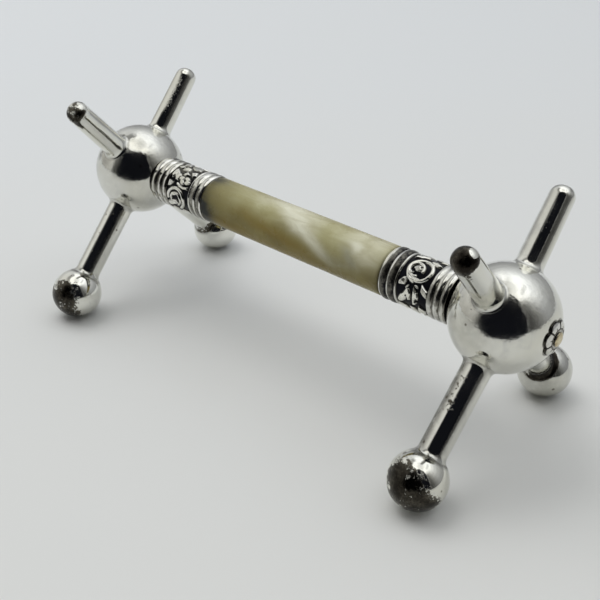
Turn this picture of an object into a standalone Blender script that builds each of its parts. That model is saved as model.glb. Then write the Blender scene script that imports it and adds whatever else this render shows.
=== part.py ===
"""Table knife rest: a mother-of-pearl bar clamped between two hollow silver-plated balls.

Each ball stands on two ball-footed legs, and two plain prongs above it keep the knife on the bar.
One tie rod runs through the balls, the ferrules and the bar, from end nut to end nut.
Metres, +Z up. The origin is on the table under the middle of the bar, and +X runs along the bar.
"""

import math

import bmesh
import bpy
from mathutils import Matrix, Vector

# Driving dimensions
BALL_SPAN = 0.0780  # between the two ball centres
BALL_RADIUS = 0.0081
BALL_WALL = 0.0008
BALL_SPOT_RADIUS = 0.0015  # the poles are faced flat for the ferrule and the rosette
ARM_REACH = 0.02588  # ball centre to foot centre
LEG_SLOPE = math.radians(46.5)  # below the horizontal
LEG_LEAN = math.radians(1.5)  # towards the middle of the bar
PRONG_SLOPE = math.radians(48.9)  # above the horizontal
PRONG_LENGTH = 0.0208  # ball centre to tip
LEG_RADIUS = 0.00222
PRONG_ROOT_RADIUS = 0.0021
PRONG_TIP_RADIUS = 0.00194
FOOT_RADIUS = 0.00446
FOOT_FLAT_RADIUS = 0.0009  # where the ball has worn flat on the table
BAR_RADIUS = 0.00407
TIE_RADIUS = 0.0010
GAP = 0.0001  # between pieces that touch

# Stations along the bar's axis, measured from the middle of the bar to each groove of a ferrule.
# The embossed band lies between the reeds at the bar and the reeds at the ball.
BAR_REEDS = {
    "left": (0.01875, 0.0201, 0.0216, 0.02195),
    "right": (0.0196, 0.0210, 0.0225, 0.0229),
}
BALL_REEDS = {
    "left": (0.0274, 0.0287, 0.0301, 0.03155),
    "right": (0.02835, 0.0294, 0.0305, 0.03155),
}
BALL_POLE = math.sqrt(BALL_RADIUS**2 - BALL_SPOT_RADIUS**2)  # ball centre to faced pole
FERRULE_SEAT = BALL_SPAN / 2 - BALL_POLE - GAP  # where the hollow end meets the ball
FERRULE_SEAT_RADIUS = 0.0022
FERRULE_RIM_RADIUS = 0.0035
FERRULE_BORE = 0.0034
FERRULE_FLOOR = 0.0012  # thickness of the ferrule's closed end
BAR_SPIGOT_END = FERRULE_SEAT - FERRULE_FLOOR - GAP
BAND_RADIUS = 0.0041  # halfway up the embossing, at the middle of the barrelled band
REED_RADIUS = 0.00422
REED_DEPTH = 0.00026

# Solder fillets, tenons and the end fittings
FLARE_WIDTH = 0.0006
FLARE_LENGTH = 0.0011
TENON_RADIUS = 0.0014
TENON_DEPTH = 0.0013
ROSETTE_RADIUS = 0.00268
ROSETTE_LOBES = 6
ROSETTE_THICKNESS = 0.00035
ROSETTE_DISH = 0.00038
NUT_RADIUS = 0.0011
NUT_HEIGHT = 0.0003
THREAD_RADIUS = 0.00075

# Derived places
FLAT_DROP = math.sqrt(FOOT_RADIUS**2 - FOOT_FLAT_RADIUS**2)
AXIS_HEIGHT = ARM_REACH * math.sin(LEG_SLOPE) * math.cos(LEG_LEAN) + FLAT_DROP
ENDS = {"left": -1, "right": 1}
SIDES = {"front": -1, "back": 1}

BALL_STEPS = 28
ROD_STEPS = 16
FOOT_STEPS = 20
FERRULE_STEPS = 24
SHARP_ANGLE = math.radians(38)


def material(name, colour, metallic, roughness):
    made = bpy.data.materials.new(name)
    made.use_nodes = True
    shader = made.node_tree.nodes["Principled BSDF"]
    shader.inputs["Base Color"].default_value = (*colour, 1.0)
    shader.inputs["Metallic"].default_value = metallic
    shader.inputs["Roughness"].default_value = roughness
    return made


def arc(radius, start, end, count, centre=0.0):
    """(radius, height) points of a circle about the axis point at height centre, by angle from the top."""
    angles = [start + (end - start) * i / (count - 1) for i in range(count)]
    return [(radius * math.sin(a), centre + radius * math.cos(a)) for a in angles]


def fillet(rod_radius, rod_height, flare_radius, flare_height, count=4):
    """A hollow quarter from the side of a rod out to a flare, as an ellipse."""
    points = []
    for i in range(count):
        turn = math.pi / 2 * i / (count - 1)
        out = 1 - math.cos(turn)
        points.append(
            (
                rod_radius + (flare_radius - rod_radius) * out,
                rod_height + (flare_height - rod_height) * math.sin(turn),
            )
        )
    return points


def on_sphere(radius, at_radius):
    """Height above a sphere's centre of its surface, at a distance from the axis."""
    return math.sqrt(radius**2 - at_radius**2)


def turned(name, outline, steps, closed=False):
    """The mesh that an outline of (radius, height) points sweeps about local Z."""
    edges = [(i, i + 1) for i in range(len(outline) - 1)]
    if closed:
        edges.append((len(outline) - 1, 0))
    guide_mesh = bpy.data.meshes.new(name + "_outline")
    guide_mesh.from_pydata([(r, 0.0, z) for r, z in outline], edges, [])
    guide = bpy.data.objects.new(name + "_outline", guide_mesh)
    bpy.context.scene.collection.objects.link(guide)
    screw = guide.modifiers.new("Turn", "SCREW")
    screw.steps = steps
    screw.render_steps = steps
    screw.use_merge_vertices = True
    screw.merge_threshold = 0.00001
    return baked(name, guide)


def baked(name, guide):
    """The guide's evaluated mesh, shaded smooth with its sharp edges kept; the guide goes."""
    graph = bpy.context.evaluated_depsgraph_get()
    mesh = bpy.data.meshes.new_from_object(guide.evaluated_get(graph))
    mesh.name = name
    work = bmesh.new()
    work.from_mesh(mesh)
    bmesh.ops.remove_doubles(work, verts=work.verts, dist=0.00001)
    work.to_mesh(mesh)
    work.free()
    mesh.shade_smooth()
    mesh.set_sharp_from_angle(angle=SHARP_ANGLE)
    bpy.data.objects.remove(guide)
    return mesh


def place(name, mesh, collection, matrix, slot=None):
    obj = bpy.data.objects.new(name, mesh)
    obj.matrix_world = matrix
    collection.objects.link(obj)
    if slot and not mesh.materials:
        mesh.materials.append(slot)
    return obj


def cutter(name, mesh, collection, matrix):
    obj = place(name, mesh, collection, matrix)
    obj.hide_render = True
    obj.display_type = "WIRE"
    return obj


def cut(obj, tool):
    boolean = obj.modifiers.new("Cut " + tool.name, "BOOLEAN")
    boolean.operation = "DIFFERENCE"
    boolean.object = tool
    boolean.solver = "EXACT"


def cylinder_mesh(name, radius, low, high):
    mesh = bpy.data.meshes.new(name)
    work = bmesh.new()
    bmesh.ops.create_cone(
        work,
        cap_ends=True,
        segments=ROD_STEPS,
        radius1=radius,
        radius2=radius,
        depth=high - low,
        matrix=Matrix.Translation((0, 0, (low + high) / 2)),
    )
    work.to_mesh(mesh)
    work.free()
    return mesh


def along_bar(end):
    """Local Z along the bar, pointing out of the named end, from the middle of the bar."""
    turn = Matrix.Rotation(ENDS[end] * math.pi / 2, 4, "Y")
    return Matrix.Translation((0, 0, AXIS_HEIGHT)) @ turn


def ball_centre(end):
    return Vector((ENDS[end] * BALL_SPAN / 2, 0, AXIS_HEIGHT))


def arm_direction(end, side, slope):
    """Out along a leg, whose slope is negative, or a prong. Only the legs lean."""
    lean = LEG_LEAN if slope < 0 else 0.0
    across = Vector((0, SIDES[side] * math.cos(slope), math.sin(slope)))
    return math.cos(lean) * across - Vector((ENDS[end] * math.sin(lean), 0, 0))


def along_arm(end, side, slope):
    """Local Z along an arm, from the ball's centre out."""
    direction = arm_direction(end, side, slope)
    turn = direction.to_track_quat("Z", "X").to_matrix().to_4x4()
    return Matrix.Translation(ball_centre(end)) @ turn


def tie_rod(parts, steel):
    """A plain rod with thinner threaded ends for the nuts."""
    shoulder = BALL_SPAN / 2 + BALL_POLE - BALL_WALL
    tip = BALL_SPAN / 2 + BALL_POLE + ROSETTE_THICKNESS + GAP
    outline = [
        (0, tip),
        (THREAD_RADIUS, tip),
        (THREAD_RADIUS, shoulder),
        (TIE_RADIUS, shoulder),
    ]
    outline += [(r, -z) for r, z in reversed(outline)]
    mesh = turned("tie_rod", outline, ROD_STEPS)
    place("tie_rod", mesh, parts, along_bar("right"), steel)


def handle_bar(parts, nacre):
    """The drilled bar of mother-of-pearl, turned down to a spigot inside each ferrule."""
    bore = TIE_RADIUS + GAP
    spigot = FERRULE_BORE - GAP
    outline = []
    for end, sign in (("right", 1), ("left", -1)):
        shoulder = BAR_REEDS[end][0] - GAP
        half = [
            (bore, sign * BAR_SPIGOT_END),
            (spigot, sign * BAR_SPIGOT_END),
            (spigot, sign * shoulder),
            (BAR_RADIUS - 0.0001, sign * shoulder),
            (BAR_RADIUS, sign * (shoulder - 0.0006)),
        ]
        outline += half if end == "right" else reversed(half)
    mesh = turned("handle_bar", outline, BALL_STEPS, closed=True)
    place("handle_bar", mesh, parts, along_bar("right"), nacre)


def reeds(grooves):
    """Rounded reeds between the grooves of a ferrule, from the outer end down."""
    points = []
    for low, high in reversed(list(zip(grooves, grooves[1:]))):
        middle = (low + high) / 2
        shoulder = (high - low) * 0.3
        points += [
            (REED_RADIUS - REED_DEPTH, high),
            (REED_RADIUS - 0.00005, middle + shoulder),
            (REED_RADIUS, middle),
            (REED_RADIUS - 0.00005, middle - shoulder),
        ]
    return points + [(REED_RADIUS - REED_DEPTH, grooves[0])]


def ferrules(parts, silver):
    """Cups with three reeds at the ball, an embossed band, and a thin ridge and two reeds at the bar.

    The closed end is hollowed, so that its rim comes down round the ball."""
    for end in ENDS:
        bar_reeds, ball_reeds = BAR_REEDS[end], BALL_REEDS[end]
        outline = [
            (TIE_RADIUS + GAP, FERRULE_SEAT),
            (FERRULE_SEAT_RADIUS, FERRULE_SEAT + 0.00005),
            (FERRULE_RIM_RADIUS, ball_reeds[-1] - 0.0001),
            (FERRULE_RIM_RADIUS + 0.0002, ball_reeds[-1]),
        ]
        outline += reeds(ball_reeds)
        outline.append((BAND_RADIUS, (bar_reeds[-1] + ball_reeds[0]) / 2))
        outline += reeds(bar_reeds)
        outline += [
            (FERRULE_BORE, bar_reeds[0]),
            (FERRULE_BORE, FERRULE_SEAT - FERRULE_FLOOR),
            (TIE_RADIUS + GAP, FERRULE_SEAT - FERRULE_FLOOR),
        ]
        mesh = turned("ferrule", outline, FERRULE_STEPS, closed=True)
        place(f"ferrule_{end}", mesh, parts, along_bar(end), silver)


def ball_shell_mesh():
    """A hollow ball about local Z with a faced pole and a hole for the tie rod at each end."""
    hole = TIE_RADIUS + GAP
    inner_radius = BALL_RADIUS - BALL_WALL
    outer_start = math.asin(BALL_SPOT_RADIUS / BALL_RADIUS)
    inner_start = math.asin(hole / inner_radius)
    outline = [(hole, BALL_POLE)]
    outline += arc(BALL_RADIUS, outer_start, math.pi - outer_start, 11)
    outline += [(hole, -BALL_POLE)]
    outline += arc(inner_radius, math.pi - inner_start, inner_start, 7)
    return turned("ball_shell", outline, BALL_STEPS, closed=True)


def ball_halves(parts, cutters, silver):
    """Each ball is a front and a back half, soldered along the upright plane through the bar."""
    drill = cylinder_mesh(
        "arm_drill",
        TENON_RADIUS + GAP,
        BALL_RADIUS - 3 * BALL_WALL,
        BALL_RADIUS + BALL_WALL,
    )
    block = bpy.data.meshes.new("half_block")
    work = bmesh.new()
    bmesh.ops.create_cube(work, size=3 * BALL_RADIUS)
    work.to_mesh(block)
    work.free()
    shell = ball_shell_mesh()
    lying = Matrix.Rotation(math.pi / 2, 4, "Y")
    for end in ENDS:
        centre = Matrix.Translation(ball_centre(end))
        for side, sign in SIDES.items():
            name = f"ball_{end}_{side}_half"
            half = place(name, shell, parts, centre @ lying, silver)
            away = Matrix.Translation((0, -sign * (1.5 * BALL_RADIUS - GAP / 2), 0))
            cut(half, cutter(name + "_split", block, cutters, centre @ away))
            for arm, slope in (("leg", -LEG_SLOPE), ("prong", PRONG_SLOPE)):
                bore = along_arm(end, side, slope)
                cut(half, cutter(f"{name}_{arm}_bore", drill, cutters, bore))


def ball_joint_outline(rod_radius):
    """From a rod down its solder fillet, back under the ball's surface and along the tenon to its end."""
    seat = BALL_RADIUS + GAP
    flare = rod_radius + FLARE_WIDTH
    rim = on_sphere(seat, flare)
    points = fillet(rod_radius, rim + FLARE_LENGTH, flare, rim + GAP)
    points += [(flare, rim)]
    points += [(TENON_RADIUS + 0.0004, on_sphere(seat, TENON_RADIUS + 0.0004))]
    points += [(TENON_RADIUS, on_sphere(seat, TENON_RADIUS))]
    points += [(TENON_RADIUS, BALL_RADIUS - TENON_DEPTH), (0, BALL_RADIUS - TENON_DEPTH)]
    return points


def prongs(parts, silver):
    """Plain tapered pegs with domed tips, soldered into the balls above the bar."""
    dome_centre = PRONG_LENGTH - PRONG_TIP_RADIUS
    outline = arc(PRONG_TIP_RADIUS, 0, math.pi / 2, 5, dome_centre)
    outline += ball_joint_outline(PRONG_ROOT_RADIUS)
    mesh = turned("prong", outline, ROD_STEPS)
    for end in ENDS:
        for side in SIDES:
            matrix = along_arm(end, side, PRONG_SLOPE)
            place(f"prong_{end}_{side}", mesh, parts, matrix, silver)


def legs(parts, silver):
    """Round rods with a tenon and a solder fillet at both ends."""
    flare = LEG_RADIUS + FLARE_WIDTH * 0.8
    seat = FOOT_RADIUS + GAP
    rim = ARM_REACH - on_sphere(seat, flare)
    tenon_end = ARM_REACH - FOOT_RADIUS + TENON_DEPTH
    outline = [
        (0, tenon_end),
        (TENON_RADIUS, tenon_end),
        (TENON_RADIUS, ARM_REACH - on_sphere(seat, TENON_RADIUS)),
        (flare, rim),
    ]
    outline += reversed(fillet(LEG_RADIUS, rim - FLARE_LENGTH, flare, rim - GAP))
    outline += ball_joint_outline(LEG_RADIUS)
    mesh = turned("leg", outline, ROD_STEPS)
    for end in ENDS:
        for side in SIDES:
            matrix = along_arm(end, side, -LEG_SLOPE)
            place(f"leg_{end}_{side}", mesh, parts, matrix, silver)


def feet(parts, cutters, silver):
    """Solid balls with a blind socket for the leg's tenon and a small worn flat below."""
    flat_angle = math.pi - math.asin(FOOT_FLAT_RADIUS / FOOT_RADIUS)
    outline = arc(FOOT_RADIUS, 0, math.pi / 2, 6)
    outline += arc(FOOT_RADIUS, math.pi / 2, flat_angle, 6)[1:]
    outline += [(0, -FLAT_DROP)]
    mesh = turned("foot", outline, FOOT_STEPS)
    mouth = ARM_REACH - FOOT_RADIUS
    drill = cylinder_mesh(
        "foot_drill", TENON_RADIUS + GAP, mouth - FOOT_RADIUS / 2, mouth + TENON_DEPTH + GAP
    )
    for end in ENDS:
        for side in SIDES:
            name = f"foot_{end}_{side}"
            centre = ball_centre(end) + ARM_REACH * arm_direction(end, side, -LEG_SLOPE)
            foot = place(name, mesh, parts, Matrix.Translation(centre), silver)
            bore = along_arm(end, side, -LEG_SLOPE)
            cut(foot, cutter(name + "_socket", drill, cutters, bore))


def rosette_mesh():
    """A dished washer with a lobed edge, its underside's pole at local z = 0."""
    bore = THREAD_RADIUS + GAP
    steps = ROSETTE_LOBES * 6
    work = bmesh.new()
    points = {}
    for step in range(steps):
        angle = 2 * math.pi * step / steps
        lobe = abs(math.cos(ROSETTE_LOBES * angle / 2))
        rim = ROSETTE_RADIUS * (0.80 + 0.20 * math.sqrt(lobe))
        flat = BALL_SPOT_RADIUS
        rings = (bore, flat, (flat + rim) / 2, rim)
        for ring, radius in enumerate(rings):
            out = max(0.0, radius - flat) / (ROSETTE_RADIUS - flat)
            drop = ROSETTE_DISH * out**1.3
            for layer, height in enumerate((0.0, ROSETTE_THICKNESS)):
                place_at = (radius * math.cos(angle), radius * math.sin(angle), height - drop)
                points[step, ring, layer] = work.verts.new(place_at)
    last = len(rings) - 1
    for step in range(steps):
        after = (step + 1) % steps
        for ring in range(last):
            for layer in (0, 1):
                quad = [
                    points[step, ring, layer],
                    points[step, ring + 1, layer],
                    points[after, ring + 1, layer],
                    points[after, ring, layer],
                ]
                work.faces.new(quad if layer else reversed(quad))
        for ring in (0, last):
            quad = [
                points[step, ring, 0],
                points[after, ring, 0],
                points[after, ring, 1],
                points[step, ring, 1],
            ]
            work.faces.new(quad if ring else reversed(quad))
    mesh = bpy.data.meshes.new("rosette")
    work.to_mesh(mesh)
    work.free()
    mesh.shade_smooth()
    mesh.set_sharp_from_angle(angle=SHARP_ANGLE)
    return mesh


def end_fittings(parts, silver, brass):
    """A rosette washer and a low domed nut on each end of the tie rod."""
    pole = BALL_SPAN / 2 + BALL_POLE + GAP
    rosette = rosette_mesh()
    bore = THREAD_RADIUS + GAP
    low = pole + ROSETTE_THICKNESS + GAP
    blind = low + NUT_HEIGHT * 0.4
    nut = turned(
        "end_nut",
        [
            (0, low + NUT_HEIGHT),
            (NUT_RADIUS * 0.6, low + NUT_HEIGHT * 0.9),
            (NUT_RADIUS * 0.9, low + NUT_HEIGHT * 0.65),
            (NUT_RADIUS, low + NUT_HEIGHT * 0.3),
            (NUT_RADIUS, low),
            (bore, low),
            (bore, blind),
            (0, blind),
        ],
        ROD_STEPS,
    )
    for end in ENDS:
        seat = along_bar(end) @ Matrix.Translation((0, 0, pole))
        place(f"rosette_{end}", rosette, parts, seat, silver)
        place(f"end_nut_{end}", nut, parts, along_bar(end), brass)


def main():
    for obj in list(bpy.data.objects):
        bpy.data.objects.remove(obj)
    parts = bpy.data.collections.new("knife_rest")
    cutters = bpy.data.collections.new("cutters")
    for collection in (parts, cutters):
        bpy.context.scene.collection.children.link(collection)
    silver = material("silver_plate", (0.83, 0.82, 0.79), 1.0, 0.12)
    relief = material("oxidised_relief", (0.55, 0.54, 0.51), 1.0, 0.3)
    nacre = material("mother_of_pearl", (0.62, 0.60, 0.44), 0.0, 0.22)
    brass = material("brass", (0.72, 0.56, 0.28), 1.0, 0.3)
    steel = material("rod_steel", (0.5, 0.5, 0.5), 1.0, 0.4)
    tie_rod(parts, steel)
    handle_bar(parts, nacre)
    ferrules(parts, relief)
    ball_halves(parts, cutters, silver)
    prongs(parts, silver)
    legs(parts, silver)
    feet(parts, cutters, silver)
    end_fittings(parts, silver, brass)


main()
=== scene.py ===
"""Looks for the silver-plated knife rest with a mother-of-pearl bar.

Lengths in this script are in millimetres and are turned to metres when a mesh is made.
"""

import math

import bpy
import numpy as np
from mathutils import Matrix, Vector


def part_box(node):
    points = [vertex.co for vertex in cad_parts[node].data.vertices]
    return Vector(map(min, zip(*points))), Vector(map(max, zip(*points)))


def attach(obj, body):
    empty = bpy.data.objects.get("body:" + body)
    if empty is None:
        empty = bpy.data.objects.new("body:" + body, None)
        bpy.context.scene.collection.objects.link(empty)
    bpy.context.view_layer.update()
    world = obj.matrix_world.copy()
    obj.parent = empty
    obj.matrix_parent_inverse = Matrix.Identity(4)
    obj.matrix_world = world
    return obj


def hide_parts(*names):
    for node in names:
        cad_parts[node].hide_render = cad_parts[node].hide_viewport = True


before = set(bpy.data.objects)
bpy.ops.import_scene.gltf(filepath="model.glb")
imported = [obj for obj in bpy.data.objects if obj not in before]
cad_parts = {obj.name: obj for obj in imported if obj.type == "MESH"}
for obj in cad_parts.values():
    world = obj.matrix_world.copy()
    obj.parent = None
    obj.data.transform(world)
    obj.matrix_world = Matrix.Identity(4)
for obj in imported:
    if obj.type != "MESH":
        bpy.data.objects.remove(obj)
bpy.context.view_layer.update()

MM = 0.001
ENDS = {"left": -1, "right": 1}
SIDES = {"front": -1, "back": 1}


# ---- places from the CAD


def box_mm(*names):
    """Lowest and highest corner of these CAD nodes together, in millimetres."""
    corners = [np.array(corner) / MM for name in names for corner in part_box(name)]
    return np.min(corners, axis=0), np.max(corners, axis=0)


def ball_halves(end):
    return [f"ball_{end}_{side}_half" for side in SIDES]


BALL_CENTRES = {end: sum(box_mm(*ball_halves(end))) / 2 for end in ENDS}
AXIS_HEIGHT = BALL_CENTRES["right"][2]
BALL_LOW, BALL_HIGH = box_mm(*ball_halves("right"))
BALL_RADIUS = (BALL_HIGH[2] - BALL_LOW[2]) / 2

FOOT_LOW, FOOT_HIGH = box_mm("foot_right_front")
FOOT_RADIUS = (FOOT_HIGH[0] - FOOT_LOW[0]) / 2


def foot_place(end, side):
    low, high = box_mm(f"foot_{end}_{side}")
    return np.array([(low[0] + high[0]) / 2, (low[1] + high[1]) / 2, high[2] - FOOT_RADIUS])


LEG_RADIUS = 2.22
PRONG_ROOT_RADIUS = 2.10
PRONG_TIP_RADIUS = 1.94
PRONG_SLOPE = math.radians(48.9)
PRONG_LENGTH = 20.7
PRONG_DOME = 1.75
ROOT_FLARE = 0.5
BAR_RADIUS = 4.07


# ---- mesh helpers

PIN = 0.02  # radius of the tiny caps that close a turned shape


def ease(low, high, value):
    """0 at low and 1 at high, smooth between and level beyond; low may be the larger."""
    share = np.clip((value - low) / (high - low), 0.0, 1.0)
    return share * share * (3 - 2 * share)


def bell(value, middle, width):
    return np.exp(-(((value - middle) / width) ** 2))


def unit(way):
    return np.array(way) / np.linalg.norm(way)


def new_object(name, data):
    obj = bpy.data.objects.new(name, data)
    bpy.context.scene.collection.objects.link(obj)
    return obj


def make_object(name, points, faces, material, attributes=None):
    """A smooth-shaded mesh from points in millimetres, with one float attribute for each name given."""
    mesh = bpy.data.meshes.new(name)
    mesh.from_pydata((np.asarray(points) * MM).tolist(), [], faces)
    for key, values in (attributes or {}).items():
        layer = mesh.attributes.new(key, "FLOAT", "POINT")
        layer.data.foreach_set("value", np.asarray(values, np.float32).ravel())
    mesh.shade_smooth()
    mesh.materials.append(material)
    return new_object(name, mesh)


def tube_faces(rows, columns, capped=True):
    """Quads round a grid of rows by columns that closes on itself, with a fan at each end if capped."""
    here = np.arange(columns)
    after = (here + 1) % columns
    quads = np.stack([here, after, columns + after, columns + here], -1)
    faces = (quads + columns * np.arange(rows - 1)[:, None, None]).reshape(-1, 4).tolist()
    if capped:
        faces.append(tuple(reversed(range(columns))))
        faces.append(tuple(range((rows - 1) * columns, rows * columns)))
    return faces


def turned_over(faces):
    return [tuple(reversed(face)) for face in faces]


def lathe(profile, steps, origin, direction):
    """A profile of (radius, height) swept about direction from origin: points, ring by ring, and faces."""
    (first_radius, first_height), (last_radius, last_height) = profile[0], profile[-1]
    start = [(PIN, first_height)] if first_radius > PIN else []
    end = [(PIN, last_height)] if last_radius > PIN else []
    radii, heights = np.array(start + list(profile) + end).T[:, :, None, None]
    z = unit(direction)
    across = np.array([1.0, 0.0, 0.0] if abs(z[0]) < 0.9 else [0.0, 1.0, 0.0])
    x = unit(across - np.dot(across, z) * z)
    turns = np.linspace(0, 2 * math.pi, steps, endpoint=False)[:, None]
    circle = np.cos(turns) * x + np.sin(turns) * np.cross(z, x)
    points = np.asarray(origin) + radii * circle + heights * z
    return points.reshape(-1, 3), tube_faces(len(radii), steps)


def waves(points, seed, size, count=6):
    """Smooth repeatable unevenness from -1 to 1: sine waves in seeded directions, about size long."""
    draw = np.random.default_rng(seed)
    total = np.zeros(points.shape[:-1])
    for _ in range(count):
        direction = draw.normal(size=3)
        direction *= 2 * math.pi / (size * draw.uniform(0.7, 1.5) * np.linalg.norm(direction))
        total += np.sin(points @ direction + draw.uniform(0, 2 * math.pi))
    return total / count


def piece(name, points, faces, material, attributes, slot, *nodes):
    """A visible piece in place of these CAD nodes."""
    obj = make_object(name, points, faces, material, attributes)
    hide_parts(*nodes)
    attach(obj, "root")


# ---- materials
# A noise's scale is per metre: 1000 gives marks about a millimetre long. Bump distances are in metres too.


class Nodes:
    """Short names for building a node tree."""

    def __init__(self, tree):
        self.tree = tree

    def add(self, kind, inputs=None, **settings):
        node = self.tree.nodes.new(kind)
        for key, value in settings.items():
            setattr(node, key, value)
        for key, value in (inputs or {}).items():
            self.put(node.inputs[key], value)
        return node

    def put(self, socket, value):
        if isinstance(value, bpy.types.NodeSocket):
            self.tree.links.new(value, socket)
        else:
            socket.default_value = value

    def math(self, operation, first, second=0.0):
        return self.add("ShaderNodeMath", {0: first, 1: second}, operation=operation).outputs[0]

    def plus(self, first, second):
        return self.math("ADD", first, second)

    def minus(self, first, second):
        return self.math("SUBTRACT", first, second)

    def times(self, first, second):
        return self.math("MULTIPLY", first, second)

    def ramp(self, value, low, high, to_low=0.0, to_high=1.0):
        inputs = {"Value": value, "From Min": low, "From Max": high, "To Min": to_low, "To Max": to_high}
        return self.add("ShaderNodeMapRange", inputs, interpolation_type="SMOOTHSTEP").outputs["Result"]

    def mix(self, share, first, second):
        """Two colours mixed, each a socket or a (red, green, blue)."""
        node = self.add("ShaderNodeMix", data_type="RGBA")
        sockets = {socket.name: socket for socket in node.inputs if socket.enabled}
        for key, value in (("Factor", share), ("A", first), ("B", second)):
            self.put(sockets[key], (*value, 1.0) if isinstance(value, tuple) else value)
        return next(socket for socket in node.outputs if socket.enabled)


class Surface(Nodes):
    """A material round the Principled shader, in the object's own coordinates."""

    def __init__(self, name):
        self.material = bpy.data.materials.new(name)
        self.material.use_nodes = True
        super().__init__(self.material.node_tree)
        self.shader = self.tree.nodes["Principled BSDF"]
        self.coordinates = self.add("ShaderNodeTexCoord").outputs["Object"]

    def scaled(self, stretch, turn=(0, 0, 0)):
        inputs = {"Vector": self.coordinates, "Scale": stretch, "Rotation": turn}
        return self.add("ShaderNodeMapping", inputs).outputs["Vector"]

    def noise(self, scale, detail=3.0, roughness=0.55, distortion=0.0, vector=None):
        inputs = {"Vector": vector or self.coordinates, "Scale": scale, "Detail": detail}
        inputs |= {"Roughness": roughness, "Distortion": distortion}
        return self.add("ShaderNodeTexNoise", inputs).outputs["Fac"]

    def attribute(self, name):
        return self.add("ShaderNodeAttribute", attribute_name=name).outputs["Fac"]

    def bump(self, height, strength, distance, normal=None):
        inputs = {"Height": height, "Strength": strength, "Distance": distance}
        if normal:
            inputs["Normal"] = normal
        return self.add("ShaderNodeBump", inputs).outputs["Normal"]

    def connect(self, colour, roughness, normal, **constants):
        self.put(self.shader.inputs["Base Color"], colour)
        self.put(self.shader.inputs["Roughness"], roughness)
        self.put(self.shader.inputs["Normal"], normal)
        for key, value in constants.items():
            self.shader.inputs[key.replace("_", " ")].default_value = value
        return self.material


# Colours are linear red, green and blue.
SILVER = (0.80, 0.795, 0.738)
SILVER_WARM = (0.73, 0.718, 0.637)
SMEARED = (0.58, 0.575, 0.56)
PIT = (0.16, 0.14, 0.11)
# The grime colour also paints shade in joints and crevices; the thickest tarnishing colour also paints a dark
# reflection on the tips of the front prongs.
DIRT_AND_SHADE = (0.055, 0.048, 0.038)
TARNISH = (0.055, 0.050, 0.039)
TARNISH_THIN = (0.17, 0.155, 0.125)
TARNISH_THICK = (0.020, 0.017, 0.014)
CELLS_WITHOUT_PIT = 0.80  # share of the cells that pits are drawn in


def silver_material(name, scratch, dented=0.0):
    """Worn silver plate: smears, fine scratches, pits, and where the mesh says brown-black tarnishing and
    grime, which also carry painted shade in joints and a painted dark reflection on the front prongs' tips.
    """
    n = Surface(name)
    warmth = n.ramp(n.noise(140.0), 0.42, 0.68)
    plate = n.mix(n.times(warmth, 0.75), SILVER, SILVER_WARM)
    smear = n.ramp(n.noise(190.0, 5.0, 0.65, 1.0, n.scaled((1.0, 2.2, 1.0), (0.4, 0.2, 0.0))), 0.50, 0.74)
    plate = n.mix(n.times(smear, 0.45), plate, SMEARED)
    roughness = n.plus(n.ramp(n.noise(260.0, 4.0), 0.35, 0.70, 0.05, 0.14), n.times(smear, 0.05))

    cells = n.add("ShaderNodeTexVoronoi", {"Vector": n.coordinates, "Scale": 720.0}).outputs
    draw = n.add("ShaderNodeSeparateColor", {"Color": cells["Color"]}).outputs
    spot = n.ramp(n.minus(cells["Distance"], n.times(draw[1], 0.16)), 0.02, 0.10, 1.0, 0.0)
    pit = n.times(spot, n.math("GREATER_THAN", draw[0], CELLS_WITHOUT_PIT))

    speckle = n.noise(1500.0, 5.0, 0.7)
    blotch = n.noise(420.0, 3.0, 0.6)
    ragged = n.plus(n.times(speckle, 1.25), n.times(blotch, 0.75))
    depth = n.attribute("tarnish_and_shade")
    tarnish_and_shade = n.ramp(n.plus(depth, n.minus(ragged, 1.0)), 0.47, 0.54)
    thin = n.mix(n.ramp(speckle, 0.40, 0.68), TARNISH, TARNISH_THIN)
    thick = n.mix(n.ramp(speckle, 0.45, 0.75), TARNISH_THICK, TARNISH)
    thickness = n.ramp(n.plus(depth, n.times(blotch, 0.5)), 0.72, 1.10)
    dirt_and_shade = n.times(n.attribute("dirt_and_shade"), n.ramp(n.noise(900.0), 0.25, 0.55, 0.55, 1.0))

    colour = n.mix(n.times(pit, 0.80), plate, PIT)
    colour = n.mix(n.times(dirt_and_shade, 0.92), colour, DIRT_AND_SHADE)
    colour = n.mix(tarnish_and_shade, colour, n.mix(thickness, thin, thick))
    crust = n.times(tarnish_and_shade, n.ramp(speckle, 0.35, 0.65, 0.06, 0.20))
    roughness = n.plus(roughness, n.math("MAXIMUM", n.times(dirt_and_shade, 0.20), crust))

    scratches = n.noise(420.0, 2.0, 0.5, 0.4, n.scaled((1.0, 9.0, 2.0), (0.5, 0.3, 0.8)))
    crossing = n.noise(380.0, 2.0, 0.5, 0.4, n.scaled((8.0, 1.0, 1.6), (0.2, -0.6, 0.3)))
    normal = n.bump(n.plus(scratches, crossing), scratch, 0.00003)
    normal = n.bump(n.noise(430.0, 3.0, 0.6), dented, 0.00012, normal)
    grain = n.noise(1700.0, 4.0, 0.65)
    pitted = n.attribute("pitted")
    normal = n.bump(n.times(grain, pitted), 0.8, 0.00012, normal)
    sparkle = n.times(n.ramp(grain, 0.56, 0.64), pitted)
    roughness = n.plus(roughness, n.times(sparkle, 0.50))
    rough_crust = n.times(tarnish_and_shade, n.plus(speckle, 1.0))
    normal = n.bump(n.plus(pit, rough_crust), 0.30, 0.00006, normal)
    return n.connect(colour, roughness, normal, Metallic=1.0)


OXIDE = (0.010, 0.010, 0.013)
PATINA_DARK, PATINA_PALE = (0.080, 0.075, 0.066), (0.25, 0.24, 0.205)
RUBBED_PALE, RUBBED_DARK = (0.80, 0.79, 0.75), (0.62, 0.61, 0.55)
RUBBED_BARE = (0.94, 0.92, 0.82)


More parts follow.
